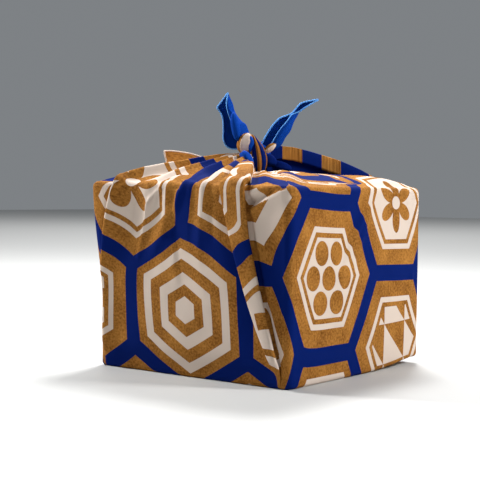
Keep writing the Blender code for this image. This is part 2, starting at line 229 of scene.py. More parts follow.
CREASE_END = 0.45        # its height at its second end, as a share
STEP_REACH = 6.0         # the widths over which a step dies out beside it
CREASES_OVER_TOP = 60.0  # mm up that the creases take the way to the knot for

# Soft unevenness of cloth over a box, two crossed waves: mm high, then the mm across, up, and up
# in its swell that a radian takes. Each face starts them at its own turn, tied and plain.
LONG_WAVE = (0.45, 17.0, 29.0, 23.0)
SHORT_WAVE = (0.25, 7.3, -31.0, 13.0)
SLACK_TURNS = {"front": (0.0, 4.0), "back": (2.0, 5.0)}
CORNER_CALM = 8.0        # mm beside a corner over which a plain face's unevenness dies out

# How far the print has slid on a face, mm, where the cloth is pulled or gathered: at a height,
# first across and then up, at each of the part's places.
# Panel: at nine places across it, the last one the pleat's left edge.
PANEL_AT = (-95.0, -75.0, -60.0, -45.0, -25.0, -10.0, 8.0, 25.0)
PANEL_SLIP = (
    (  0, (-2.5, -3.5, -4.5, -4.5,   -4,   -3,   -3,   -3, -0.5),
          ( 0.5,  0.5,  0.5,    0,    0, -0.5,    0,  0.5,    1)),
    ( 25, (-1.5,   -2,   -3,   -4, -2.5, -1.5, -2.5,   -2,  0.5),
          (-0.5, -0.5, -1.5,   -1,  0.5,  0.5,    2,  2.5,    2)),
    ( 50, (  -1, -1.5,   -1,   -1, -0.5,    0,    0, -0.5,    2),
          (-2.5, -1.5,   -1, -0.5,    0,    0,    1,  2.5,    3)),
    ( 75, (-1.5, -2.5, -1.5,  0.5,  0.5,    1,    2,    2,  3.5),
          (  -3,   -2,   -1,   -1, -0.5,  0.5,    1,  1.5,    3)),
    ( 90, (  -1, -3.5, -3.5,   -1,  1.5,    4,  4.5,  4.5,    5),
          (  -2, -0.5,  1.5,  1.5,  1.5,  1.5,    1,  0.5,  2.5)),
    (105, (   0, -4.5,   -6,   -4,    2,    6,    6,    6,  7.5),
          (  -1,    1,    3,    4,  4.5,  3.5,    1, -0.5,    0)),
    (118, (   1, -4.5, -7.5,   -6,  1.5,    7,  5.5,  5.5,    9),
          (   0,  1.5,  3.5,  4.5,  6.5,    6,    2, -0.5, -1.5)),
    (130, (   1, -3.5, -6.5, -4.5,  0.5,    6,    4,  4.5,    9),
          (   0,  1.5,    3,  4.5,    6,  6.5,    3,  1.5,  1.5)),
    (142, (   1,   -2, -3.5, -1.5,    2,  5.5,  3.5,  4.5,    9),
          (   0,    1,    2,  3.5,    5,  5.5,  4.5,  4.5,    5)),
    (156, (   1,    0, -0.5,  0.5,    2,  3.5,  2.5,  2.5,    6),
          (   0,  0.5,  1.5,    3,  4.5,  5.5,  5.5,    6,  6.5)),
)
# Pleat: at its left and right edges.
PLEAT_SLIP = (
    (  0, ( 7.5, 21.5), (  6,   2)),
    ( 20, (10.5, 21.5), (  4,  -4)),
    ( 32, (  16, 23.5), (  2,  -6)),
    ( 45, (  23, 26.5), (4.5,   2)),
    ( 57, (26.7,   29), (7.5,   5)),
    ( 65, (27.3,   29), (  9,   7)),
    ( 75, (29.6,   30), (8.2, 7.5)),
    ( 91, (34.7,   35), (  7,   6)),
    (102, (38.6, 38.7), ( 11,   6)),
    (117, (  45, 45.5), ( 10,  12)),
    (127, (  39, 49.5), ( 12,   8)),
    (140, (  38, 50.5), ( 12,   8)),
    (152, (  37,   51), ( 10,   8)),
)
# Wrap: at the pleat's right edge and at the near corner.
WRAP_SLIP = (
    (  0, (   -4,   -3), (  -3,   -3)),
    ( 28, ( -5.5, -4.5), (  -6,   -6)),
    ( 47, (   -9,   -5), (  -5,   -5)),
    ( 62, (-11.5,   -5), (-4.7,   -4)),
    ( 78, ( -9.5,   -5), (  -3, -3.7)),
    ( 96, (   -9, -4.5), (  -8,   -4)),
    (111, (   -4, -3.5), ( -15,   -5)),
    (127, (   -5,   -3), ( -16,   -5)),
    (144, (    5,   -2), (   0,   -4)),
    (156, (    5,   -2), (   0,   -4)),
)
# Plain face: at five places from the near corner to the far one.
PLAIN_AT = (-94.0, -75.0, -35.0, 10.0, 94.0)
PLAIN_SLIP = (
    (  0, (   0,    0,    0,   0, 0), (   0,  0,    0,  0, 0)),
    ( 28, (   1, -0.5,    0,   0, 0), (  -6, -2,   -1, -1, 0)),
    ( 86, (-4.5, -2.5,    0, 0.7, 0), (-3.8, -2,   -1, -2, 0)),
    (111, (-4.5,   -4,    0,   0, 0), (  -5, -3,   -1, -1, 0)),
    (127, (  -5, -5.5, -0.2,   0, 0), (  -5, -3, -0.5,  0, 0)),
    (144, (-5.5, -6.5, -0.4,   0, 0), (  -4, -3,    0,  0, 0)),
    (156, (-5.5, -6.5, -0.4,   0, 0), (  -4, -3,    0,  0, 0)),
)
SLIPS = {"panel": PANEL_SLIP, "pleat": PLEAT_SLIP, "wrap": WRAP_SLIP, "plain": PLAIN_SLIP}
SLIP_ENDS = 0.5          # the way at which nothing has slid any more

# The tuck over the wrap: a fold from its lower left end to the top edge near the corner, which
# hides so much of the cloth, mm, and this share more at its lower end.
TUCK = ((56.0, 133.5), (97.0, 156.0))
TUCK_HIDES, TUCK_SPREAD = 24.0, 0.50
TUCK_WIDTH = 1.2         # mm over which the cloth goes under
TUCK_OVER_TOP = 40.0     # mm up that it takes the way to the knot for
TURN_FROM, TURN_OVER = 0.04, 0.30           # the way over which the wrap's print turns plain
CORNER_TURN = 0.1        # the same round an upright corner, from the top edge
# The gathers on the plain end's top: the mm of it that they hide, between which places along the
# top edge, the mm over which they start and end there, and the way over which they start.
GATHER_HIDES, GATHER_START, GATHER_END = 86.0, -78.0, 0.0
START_RUN, END_RUN = 15.0, 30.0
GATHER_FROM, GATHER_OVER = 0.05, 0.04

# The two free ends, from the knot to the tip, in mm in the upright plane that faces the front
# corner: the far hem, the near hem, the outermost fold and the ridge beside the near hem; depth:
# how far the end opens out behind.
#    far_x  far_z near_x near_z fold_x fold_z ridge_x ridge_z depth
LEFT_EAR = (
    (  -23,   188, -20.5, 190.5,   -14,   195,    -19,  192.5,    2),
    (-28.5,   188, -22.5,   193,   -13, 198.5,    -19,    195,    4),
    (-33.5, 190.5,   -24, 197.5, -13.5,   202,    -20,  198.5,    6),
    (  -36, 196.5,   -25, 201.5, -14.5,   205,  -21.5,  202.5,    7),
    (  -36,   204,   -27,   207, -16.5, 209.5,    -23,  208.5,    7),
    (-36.5,   213, -29.5, 212.5, -20.5, 212.5,    -25,    213,  6.5),
    (-38.5,   219, -31.5,   218, -24.5, 217.5,    -28,  218.5,  5.5),
    (-41.5, 223.5,   -33,   223, -26.5, 221.5,    -31,  222.5,    5),
    (  -39, 227.5, -33.5, 227.5,   -28,   227,    -32,  227.5,    4),
    (  -36, 231.5,   -33,   232,   -30, 231.5,  -32.2,    232,  2.2),
    (  -33,   236, -32.5, 236.7,   -32,   236,  -32.3,  236.5,  0.6),
)
RIGHT_EAR = (
    (  -3, 190.5,     3,   190,    11, 188.5,      5,  189.8,    2),
    (  -1, 195.5,   6.5, 193.5,    15,   192,      9,    193,  3.5),
    ( 2.5,   202,   9.5, 198.5,  18.5, 198.5,   12.5,  197.8,    5),
    (   7,   209,  13.5,   205,  22.5,   204,   16.5,    204,  5.5),
    (  13,   215,  18.5,   211,  25.5,   212,   20.5,  210.5,    5),
    (  19, 217.5,  21.5, 215.5,    28, 216.5,   23.5,    215,  3.5),
    (23.5, 219.5,    24, 218.3,  29.5, 219.5,   25.5,  218.2,  2.5),
    (26.5,   223,  29.2, 220.5,    30, 220.5,   29.6,  220.3,    3),
    (30.5, 227.5,  33.6, 223.5,  34.5, 223.5,     34,  223.3,  3.5),
    (  35, 229.5,    38, 226.5,  38.5, 226.5,   38.3,  226.4,  2.6),
    (  41, 230.7,    42, 228.9,  42.5,   229,   42.2,  228.8,  1.4),
    (  46, 231.6,  46.4, 231.3,  46.5, 231.4,   46.4,  231.2,  0.4),
)
# The section of an end from its far hem to its near hem: how its points mix the places above,
# how far behind the plane and how far across they go, as shares of the depth, and mm across.
#     far  near fold ridge behind  bulge aside
EAR_SECTION = (
    (   1,    0,   0,    0,  0.15,     0,    0),
    (   1,    0,   0,    0,  0.45, -0.05,    0),
    (0.75, 0.25,   0,    0,     1,     0,    0),
    (   0,    1,   0,    0,  1.15,     0,    0),
    (   0,  0.5, 0.5,    0,   0.9,     0,    0),
    (   0,    0,   1,    0,   0.2,     0,    0),
    (   0,    0, 0.5,  0.5, -0.35,     0,    0),
    (   0,    0,   0,    1,  -0.7,     0,    0),
    (   0,    1,   0,    0, -0.62,     0, 0.15),
    (   0,    1,   0,    0,  -0.5,     0,    0),
)
EAR_STEPS = (8, 7)       # faces between two rows and between two points of the section

# The lobes of the knot, mm: eggs with so many soft grooves along their long axis, which is tilted
# by degrees; then where the middle of each lies on the flat cloth and how much cloth it shows.
#   across behind      z  long  wide deep tilt grooves flat_x  flat_y along round
LOBES = (
    (   -6,     0,   181,   12, 11.5,  11,   0,      7,     0,    430,   30,   40),
    (-16.4,    -5, 192.4,  9.4,  7.4,   8, 106,      5,    22,   -155,   20,   44),
    (-12.2,    -8, 191.5,    8,  3.4,   5,  84,      3,    10,   -430,   30,   40),
    (-15.4, -17.5,   177,    9,  4.6, 6.5,  52,      4,    10,   -430,   30,   40),
    (-25.6,    -5,   207, 12.5,  4.2,   5,  80,      2,    10,   -430,   30,   20),
    (  4.2,    -5, 188.4,  6.8,  3.1, 4.5, -36,      3,    38,   -155,   10,   26),
    (  2.5,    -3,   179,    9,  5.6, 6.5,  25,      5,     0, -225.5,   10,   26),
    (   12,    12, 174.5,   13,    5,   7,  16,      5,     0, -225.5,   12,   26),
    (   -3,     8,   183,   13,  8.5, 6.5, 115,      6,     0,    430,   60,   50),
    (-14.8,   -26,   178,  8.5,  4.2,   6,  62,      4,    10,   -430,   30,   40),
)
LOBE_COLUMNS, LOBE_ROWS = 33, 17
GROOVE_DEPTH, GROOVE_TWIST = 0.07, 2.0      # share of the lobe's size; radians at its ends

# The strap that crosses over the knot, from behind its top down its front.
#   across behind      z half_width
STRAP = (
    (  -10,     6,   194,       2.4),
    (-10.6,    -1,   199,         3),
    ( -9.2,    -7, 196.6,       3.8),
    ( -6.8,   -12, 189.5,       5.8),
    ( -5.2,   -14,   181,       7.4),
    ( -4.6, -13.5,   173,         7),
    ( -5.2,   -10, 165.5,       5.6),
)
STRAP_COLUMNS, STRAP_STEPS = 41, 8
STRAP_CROWN = 4.0        # mm high, in an arc of so many radians to each side
STRAP_ARC, STRAP_SINK = 1.5, 0.7            # and sunk by that share of the height
CORD_HEIGHT, CORD_TURN = 0.35, 11.0         # its fine ridges: mm, radians from middle to edge
STRAP_INSET = 12 * MM    # how far inside the cloth's hem its bars are read
STRAP_BARS = 3.7         # how many bars of the border run along it
STRAP_START = 151 * MM   # from the middle of the cloth's edge to the first of them

# The flap's corner that stands up beside the fan. Rows along it, mm.
#      y foot_x top_x  top_z
FLAP = (
    (-33,   -82,  -87, 186.5),
    (-22,   -83,  -88, 186.8),
    ( -8, -83.5,  -89, 186.3),
    (  6,   -83,  -88,   185),
    ( 20,   -81,  -85, 181.5),
    ( 32,   -78,  -80,   175),
)
FLAP_FOOT = 158.0        # mm
FLAP_BULGE = 0.8         # mm by which it bends at half its height
FLAP_LIP = (0.3, -0.3, -2.0)                # mm from its top to the line where that turns up
FLAP_STEPS = (6, 6)      # faces between two rows and between two points of a row
FLAP_CLOTH = 30 * MM     # the height of cloth that it shows
FLAP_START = 137 * MM    # from the middle of the cloth's edge to the flap's near side
FLAP_BARS = 1.3          # how many bars of the border it shows

# The skin's rows, from the foot to the knot, and its columns
SIDE_ROWS = 84
TOP_ROWS = 46
ROWS_CLOSER = 1.1        # the power by which the top's rows stand closer at its edge
PLAIN_STEPS = 84
CORNER_STEPS = 6
EDGE_TURNS = (0.2, 0.4, 0.6, 0.8)           # shares of the quarter turn
FOOT_TURNS = (1.0, 0.66, 0.33)
BOTTOM_SHARES = (0.01, 0.35, 0.7, 1.0)      # rings of the underside, against the foot's
BOTTOM_RISE = 3          # the power by which it nears the foot's height

# The layers folded under the tied ends
FOLD_COLUMNS = 25        # columns from a tied face's far corner past its side fold
TOP_LAYERS = (1.0, 2.0, 3.0)                # mm under the top
PANEL_LAYER = 2.0        # mm behind a panel
LAYER_ON_CLOTH, PANEL_ON_CLOTH = (0.3, 0.0), (0.0, 0.2)   # m, from its world place to its flat one
TOP_THINNED, PANEL_THINNED = (2, 3), (3, 3)  # the skin's rows and columns to one of theirs
KNOT_CLEAR, FOOT_CLEAR, EDGE_CLEAR, SIDES_CLEAR = 2, 4, 6, 4   # its rows and columns left out


def ease(value):
    value = np.clip(value, 0.0, 1.0)
    return value * value * (3 - 2 * value)


def column_of(table, at, column):
    rows = np.array(table, float)
    return np.interp(at, rows[:, 0], rows[:, column])


def smooth(values, steps):
    """Catmull-Rom through the last axis, with so many steps after each value."""
    fine = []
    last = values.shape[-1] - 1
    for here in range(last):
        p0, p1 = values[..., max(here - 1, 0)], values[..., here]
        p2, p3 = values[..., here + 1], values[..., min(here + 2, last)]
        for step in range(steps[here]):
            t = step / steps[here]
            fine.append(0.5 * (2 * p1 + (p2 - p0) * t + (2 * p0 - 5 * p1 + 4 * p2 - p3) * t * t
                               + (3 * p1 - p0 - 3 * p2 + p3) * t ** 3))
    fine.append(values[..., last])
    return np.stack(fine, -1)


def fold_lines(height, which):
    """Side fold and the pleat's two edges at a height, all in mm and clear of the corners."""
    h = height / MM
    side = column_of(FRONT, h, 1)
    if which == "back":
        side = BACK_SIDE_FOLD_FOOT + (BACK_SIDE_FOLD_TOP - BACK_SIDE_FOLD_FOOT) * height / HEIGHT
    left = min(column_of(FRONT, h, 2), EDGE_MM - 3 * FOLD_ROOM)
    return max(side, FOLD_ROOM - EDGE_MM), left, min(column_of(FRONT, h, 3), EDGE_MM - FOLD_ROOM)


def ripple(where, height, along, which):
    """Lift in mm of the fan's ridges less its valleys, on the face or over the top."""
    total = np.zeros_like(where)
    below = max(0.0, (HEIGHT - height) / MM)
    for sign, start, drift, rise, crest, width, reach in FAN:
        middle = start - drift * below / reach
        size = rise + (crest - rise) * ease(along / FULL_CREST)
        total += sign * size * (1 - ease(below / reach)) * np.exp(-((where - middle) / width) ** 2)
    return total * (1.0 if which == "front" else BACK_RIPPLE)


def creases(face, across, height):
    """Lift in mm of the listed creases of a face."""
    total = np.zeros_like(across)
    for x0, z0, x1, z1, ridge, step, width in CREASES[face]:
        run = np.array([x1 - x0, z1 - z0])
        length = np.hypot(*run)
        run = run / length
        along = (across - x0) * run[0] + (height - z0) * run[1]
        off = (height - z0) * run[0] - (across - x0) * run[1]
        past = np.maximum(np.maximum(-along, along - length), 0.0)
        fade = CREASE_END + (1 - CREASE_END) * ease(1 - along / length)
        fade = fade * np.exp(-(past / (CREASE_PAST * width)) ** 2)
        total += fade * ridge * np.exp(CREASE_ROUND - np.hypot(off / width, CREASE_ROUND))
        total += fade * step * np.tanh(off / width) * np.exp(-(off / (STEP_REACH * width)) ** 2)
    return total


def slack(across, height, turn):
    """Soft unevenness of cloth lying over a box, in mm."""
    size, wide, tall, swell = LONG_WAVE
    total = size * np.sin(across / wide + height / tall + turn) * np.sin(height / swell + 2 * turn)
    size, wide, tall, swell = SHORT_WAVE
    return total + (size * np.sin(across / wide + height / tall + 3 * turn)
                    * np.cos(height / swell + turn))


PARTS = ("side", "panel", "pleat", "wrap", "near", "plain", "far")
SIDE_PART, PANEL, PLEAT, WRAP, NEAR, PLAIN, FAR = range(7)
LAY_PART = np.concatenate([[PARTS.index(name)] * len(rows) for name, rows in TIED_LAY.items()])
LAY_WHERE, LAY_LIFT, LAY_SHIFT, LAY_STEPS = np.array(sum(TIED_LAY.values(), ())).T
LAY_STEPS = LAY_STEPS.astype(int).tolist()
EDGE_MM = (SIDE / 2 - CORNER_RADIUS) / MM
FINE_PART = np.repeat(LAY_PART, LAY_STEPS)[:sum(LAY_STEPS[:-1]) + 1]


def tied_row(height, along, which):
    """Place, lift and rise, in mm, of every fine column of a tied face at one row."""
    side, left, right = fold_lines(height, which)
    starts = np.array([-EDGE_MM, side, left, right])
    ends = np.array([side, left, right, EDGE_MM])
    foot = ease(height / MM / FOOT_EASE)
    place = starts[LAY_PART] + LAY_WHERE * (ends - starts)[LAY_PART] + LAY_SHIFT * foot
    tied = (LAY_PART == PANEL) | (LAY_PART == PLEAT)
    end_rise = column_of(TOP_RISE, along, 2 if which == "front" else 3)
    rise = np.where(tied, end_rise, column_of(TOP_RISE, along, 1))
    drop = BAND_EDGE_DROP if which == "back" else FRONT_EDGE_DROP
    rolled = ((LAY_PART == PANEL) & (LAY_WHERE == 0)) | ((LAY_PART == PLEAT) & (LAY_WHERE == 1))
    rise = rise - drop * ease(along / EDGE_DROP_FULL) * rolled
    if which == "front":
        dive = PLEAT_DIVE * ease((along - DIVE_FROM) / (DIVE_TO - DIVE_FROM))
        rise = rise - dive * (LAY_PART == PLEAT) * (LEFT_DIVE + (1 - LEFT_DIVE) * LAY_WHERE)
    if which == "back":
        under = (LAY_PART == SIDE_PART) * LAY_WHERE ** 3 - (LAY_PART == WRAP) * (1 - LAY_WHERE) ** 3
        place = place + under * BAND_UNDERCUT * ease(along / UNDERCUT_FULL)
    coarse = (place, LAY_LIFT * foot, rise, LAY_WHERE)
    place, lift, rise, where = (smooth(values, LAY_STEPS) for values in coarse)
    lift = lift + (FINE_PART == PANEL) * ripple(where, height, along, which) * foot
    on_end = (FINE_PART == PANEL) | (FINE_PART == PLEAT)
    lift = lift + slack(place, height / MM, SLACK_TURNS[which][0]) * foot
    if which == "front":
        up = height / MM + CREASES_OVER_TOP * along
        on_wrap, on_front = creases("wrap", place, up), creases("front", place, up)
        lift = lift + np.where(FINE_PART == WRAP, on_wrap, on_front) * foot
    rise = rise + np.where(on_end, lift * (1 - KNOT_FLATTENS * ease(along)), 0)
    q = np.where(FINE_PART == WRAP, where - 1, 1 + where)
    rise = rise + np.where(on_end, 0, plain_ridges(q, along))
    return place, lift, rise


def plain_ridges(q, along):
    """Rise in mm of the plain end's soft ridges at a place q, told as in their table."""
    total = 0.0
    for where, width, size, peak in PLAIN_RIDGES:
        near = np.exp(-((q - where) / width) ** 2) * np.exp(-((along - peak) / RIDGE_LENGTH) ** 2)
        total = total + size * near * ease(along / RIDGE_START)
    return total


def settle(points):
    """Add the slack at the far foot and the pull at the near top corner."""
    x, y, z = points[..., 0], points[..., 1], points[..., 2]
    half = SIDE / 2
    far = np.hypot(x - half, y - half) / LOOSE_REACH
    near = np.hypot(x + half, y + half) / PULLED_REACH
    pull = np.exp(-near ** 2) * ease((z / HEIGHT - PULLED_FROM) / (1 - PULLED_FROM))
    loose = LOOSE_FOOT * np.exp(-far ** 2) * (1 - ease(z / (LOOSE_UP_TO * HEIGHT)))
    return np.stack((x + PULLED[0] * pull, y + PULLED[1] * pull, z + PULLED[2] * pull + loose), -1)


def place_row(row, base, normal, lift, rise):
    """World points of one row of columns: base and normal are (n, 2), lift and rise in metres."""
    kind, height, turn, along = row
    half = SIDE / 2
    crown = FACE_CROWN * (1 - (base[:, 0] / half) ** 2 * (base[:, 1] / half) ** 2)
    lift = lift + crown * math.sin(math.pi * min(1.0, height / HEIGHT))
    if kind == "foot":
        out = 0 * lift - FOOT_RADIUS * (1 - math.cos(turn))
        z = 0 * lift + FOOT_RADIUS * (1 - math.sin(turn))
    elif kind == "side":
        out, z = lift, height + 0 * lift
    elif kind == "edge":
        out = -EDGE_RADIUS + (EDGE_RADIUS + lift) * math.cos(turn)
        z = HEIGHT - EDGE_RADIUS + (EDGE_RADIUS + rise) * math.sin(turn)
    else:
        start = base - normal * EDGE_RADIUS
        ray = start - KNOT
        end = KNOT + ray / np.linalg.norm(ray, axis=1)[:, None] * KNOT_COLLAR
        spot = start + (end - start) * along
        return settle(np.column_stack((spot, HEIGHT + rise)))
    spot = base + normal * out[:, None]
    return settle(np.column_stack((spot, z)))


def skin_rows():
    """Kind, height, turn and way to the knot of every row, and how far up the cloth it is."""
    quarter = math.pi / 2
    top = HEIGHT - EDGE_RADIUS
    ways = np.linspace(0.0, 1.0, TOP_ROWS) ** ROWS_CLOSER
    rows = [(("foot", 0.0, t * quarter, 0.0), FOOT_RADIUS * (1 - quarter * t)) for t in FOOT_TURNS]
    rows += [(("side", z, 0.0, 0.0), z) for z in np.linspace(FOOT_RADIUS, top, SIDE_ROWS)]
    rows += [(("edge", HEIGHT, t * quarter, 0.0), top + EDGE_CLOTH * t) for t in EDGE_TURNS]
    rows += [(("top", HEIGHT, 0.0, way), top + EDGE_CLOTH) for way in ways]
    return rows


def half_round(row, which):
    """One row's columns: a tied face, the near corner, a plain face and the far corner.

    Gives each column's base, normal, lift and rise, then the part of the stretch after it, its
    place in that part and its place in the part before it.
    """
    _, height, _, along = row
    place, lift, rise = tied_row(height, along, which)
    plain_up = column_of(TOP_RISE, along, 1)
    half = SIDE / 2 / MM
    count = len(place)
    base = np.column_stack((place, np.full(count, -half)))
    sets = [(base, np.tile((0.0, -1.0), (count, 1)), lift, rise, FINE_PART, place, place)]
    share = np.linspace(0, 1, CORNER_STEPS + 1)
    y = np.linspace(-EDGE_MM, EDGE_MM, PLAIN_STEPS + 2)[1:-1]
    for part, centre, quarter, q, before, after in (
            (NEAR, (EDGE_MM, -EDGE_MM), share - 1, 0.0, (WRAP, EDGE_MM), (PLAIN, -EDGE_MM)),
            (FAR, (EDGE_MM, EDGE_MM), share, 1.0, (PLAIN, EDGE_MM), (SIDE_PART, -EDGE_MM))):
        normal = np.column_stack((np.cos(quarter * math.pi / 2), np.sin(quarter * math.pi / 2)))
        parts = np.full(len(share), part)
        here, there = share.copy(), share.copy()
        parts[-1], here[-1], there[0] = after[0], after[1], before[1]
        up = plain_up + plain_ridges(q, along) + 0 * share
        base = np.array(centre) + normal * CORNER_RADIUS / MM
        sets.append((base, normal, 0 * share, up, parts, here, there))
    lift = slack(y, height / MM, SLACK_TURNS[which][1]) * ease(height / MM / FOOT_EASE)
    if which == "front":
        lift = lift + creases("plain", y, height / MM)
    lift *= ease((EDGE_MM - np.abs(y)) / CORNER_CALM)
    up = plain_up + plain_ridges(0.5 + y * MM / SIDE, along)
    base = np.column_stack((0 * y + half, y))
    parts = np.full(len(y), PLAIN)
    sets.insert(2, (base, np.tile((1.0, 0.0), (len(y), 1)), lift, up, parts, y, y))
    return [np.concatenate(column) for column in zip(*sets)]


def skin():
    """The cloth round the parcel: its points, then each column's part, whether it is on the back
    half, and its place in the stretch after it and in the one before it."""
    grid, parts, starts, ends = [], None, [], []
    for row, _ in skin_rows():
        halves = [half_round(row, which) for which in ("front", "back")]
        line = [place_row(row, sign * base * MM, sign * normal, lift * MM, rise * MM)
                for sign, (base, normal, lift, rise, *_) in zip((1, -1), halves)]
        parts, here, there = (np.concatenate(both) for both in list(zip(*halves))[4:])
        grid.append(np.concatenate(line))
        starts.append(here)
        ends.append(there)
    count = len(halves[0][0])
    backs = np.arange(len(parts)) >= count - 1
    backs[-1] = False
    return np.array(grid), parts, backs, np.array(starts), np.array(ends)


def curve(knots, values, at):
    """Smooth line through values at rising knots, held level past its ends."""
    knots, values = np.asarray(knots, float), np.asarray(values, float)
    gap = np.diff(knots)
    slopes = np.diff(values, axis=0) / gap.reshape(-1, *[1] * (values.ndim - 1))
    tangent = np.zeros_like(values)
    tangent[1:-1] = (slopes[:-1] + slopes[1:]) / 2
    at = np.clip(at, knots[0], knots[-1])
    here = np.clip(np.searchsorted(knots, at, side="right") - 1, 0, len(knots) - 2)
    t = (at - knots[here]) / gap[here]
    reach = gap[here]
    if values.ndim > 1:
        t, reach = t[..., None], reach[..., None]
    return ((1 + 2 * t) * (1 - t) ** 2 * values[here] + t * (1 - t) ** 2 * reach * tangent[here]
            + t * t * (3 - 2 * t) * values[here + 1] - t * t * (1 - t) * reach * tangent[here + 1])


def slip(part, across, height):
    """How far the print has slid across and up, in metres, at every place of a part in front."""
    table = SLIPS[part]
    values = np.array([row[1:] for row in table])
    slid = np.empty(across.shape + (2,))
    for row, level in enumerate(height[:, 0]):
        _, left, right = fold_lines(level * MM, "front")
        at = {"panel": PANEL_AT + (left,), "pleat": (left, right),
              "wrap": (right, EDGE_MM), "plain": PLAIN_AT}[part]
        slid[row] = curve(at, curve([line[0] for line in table], values, level).T, across[row])
    return slid[..., 0] * MM, slid[..., 1] * MM


def over_tuck(across, height):
    """0 under the tuck's fold, 1 over it."""
    (x0, z0), (x1, z1) = TUCK
    run = math.hypot(x1 - x0, z1 - z0)
    off = ((height - z0) * (x1 - x0) - (across - x0) * (z1 - z0)) / run
    return ease(off / TUCK_WIDTH + 0.5)


def tuck_hides(place, height, along):
    """Metres of cloth that the tuck hides at places of the wrap."""
    (left, _), (right, _) = TUCK
    spread = 1 + TUCK_SPREAD * (1 - ease((place - left) / (right - left)))
    return TUCK_HIDES * MM * over_tuck(place, height + TUCK_OVER_TOP * along) * spread


def gathers_hide(y, along):
    """Metres of cloth that the gathers on the plain end's top hide."""
    started = ease((y / MM - GATHER_START) / START_RUN) * (1 - ease((y / MM - GATHER_END) / END_RUN))
    return GATHER_HIDES * MM * ease((along - GATHER_FROM) / GATHER_OVER) * started


def band_flat(place, grid):
    """Flat place of the band behind, where the barred border shows."""
    _, _, right = fold_lines(HEIGHT, "back")
    share = np.clip((place - BACK_SIDE_FOLD_TOP) / (right - BACK_SIDE_FOLD_TOP), 0, 1)
    inwards = BAND_CLOTH * np.minimum(share, 1 - share)
    run = BAND_START - np.hypot(grid[..., 0] - KNOT[0], grid[..., 1] - KNOT[1])
    run = np.where(share < 0.5, np.maximum(run, BAND_LAST), run)
    e1, e2 = CLOTH_SIDE / 2 - HEM - inwards, -run
    return -(e1 + e2) * math.sqrt(0.5), (e1 - e2) * math.sqrt(0.5)


def flat_places(part, back, place, up, along, grid):
    """Flat cloth coordinates, in metres, of a grid of points seen as belonging to given parts.

    They are worked out for the front and turned half round for the back, where only the print on
    the pleat has slid and the band's border is laid on afterwards.
    """
    sign = np.where(back, -1.0, 1.0) + 0 * place
    half = SIDE / 2
    over = half + HEIGHT + half
    x, y = sign * grid[..., 0], sign * grid[..., 1]
    on_top = along > 0
    height = np.minimum(up, HEIGHT) / MM + 0 * place
    in_front = (1 - ease(along / SLIP_ENDS)) * ~back
    slid = {name: [in_front * moved for moved in slip(name, place, height)] for name in SLIPS}
    flat = {}
    for name, behind in (("panel", 0.0), ("pleat", BACK_PLEAT_SLIP * MM)):
        across, raised = slid[name]
        across = np.where(back, behind, across)
        flat[name] = (place * MM + across) * (1 - GATHER * along), -(half + up + raised)
    flat["side"] = -np.where(on_top, over + x, half + up), np.where(on_top, y, -place * MM - SIDE)
    across, raised = slid["wrap"]
    turned = ease((along - TURN_FROM) / TURN_OVER)
    risen = half + up + raised + tuck_hides(place, height, along) * ~back
    flat["wrap"] = (risen * (1 - turned) + (over - x) * turned,
                    (place * MM - SIDE + across) * (1 - turned) + (y + across) * turned)
    across, raised = slid["plain"]
    risen = np.where(on_top, over - x, half + up) + gathers_hide(y, along) * ~back
    flat["plain"] = risen + raised, np.where(on_top, y, place * MM) + across
    tight = 1 - ease(along / CORNER_TURN)
    share = np.clip(place, 0, 1)
    for name, end in (("near", -1), ("far", 1)):
        around = end * half + CORNER_CLOTH * (share - 0.5)
        plain_side = slip("plain", end * EDGE_MM + 0 * place, height)
        if name == "near":
            wrap_side = slip("wrap", EDGE_MM + 0 * place, height)
            pulled = [wrap + (plain - wrap) * share for wrap, plain in zip(wrap_side, plain_side)]
        else:
            pulled = [plain * (1 - share) for plain in plain_side]
        across, raised = (in_front * moved for moved in pulled)
        flat[name] = risen + raised, around * tight + y * (1 - tight) + across
    u, v = np.zeros_like(sign), np.zeros_like(sign)
    for name, (its_u, its_v) in flat.items():
        mine = part == PARTS.index(name)
        u, v = np.where(mine, its_u, u), np.where(mine, its_v, v)
    # painted shade: the cloth on top under the band behind takes one place of the blue net
    painted_shade = back & (part == SIDE_PART) & on_top
    banded = back & ((part == PANEL) | (part == PLEAT)) & on_top
    laid = []
    for value, shade, band in zip((sign * u, sign * v), PAINTED_SHADE_PLACE, band_flat(place, grid)):
        laid.append(np.where(banded, band, np.where(painted_shade, shade, value)))
    return np.stack(laid, -1)


def put(name, data):
    """An object with that data, in the scene."""
    thing = bpy.data.objects.new(name, data)
    bpy.context.scene.collection.objects.link(thing)
    return thing


def new_finish(name):
    """A material with nodes, and its shader."""
    finish = bpy.data.materials.new(name)
    finish.use_nodes = True
    return finish, finish.node_tree.nodes["Principled BSDF"]


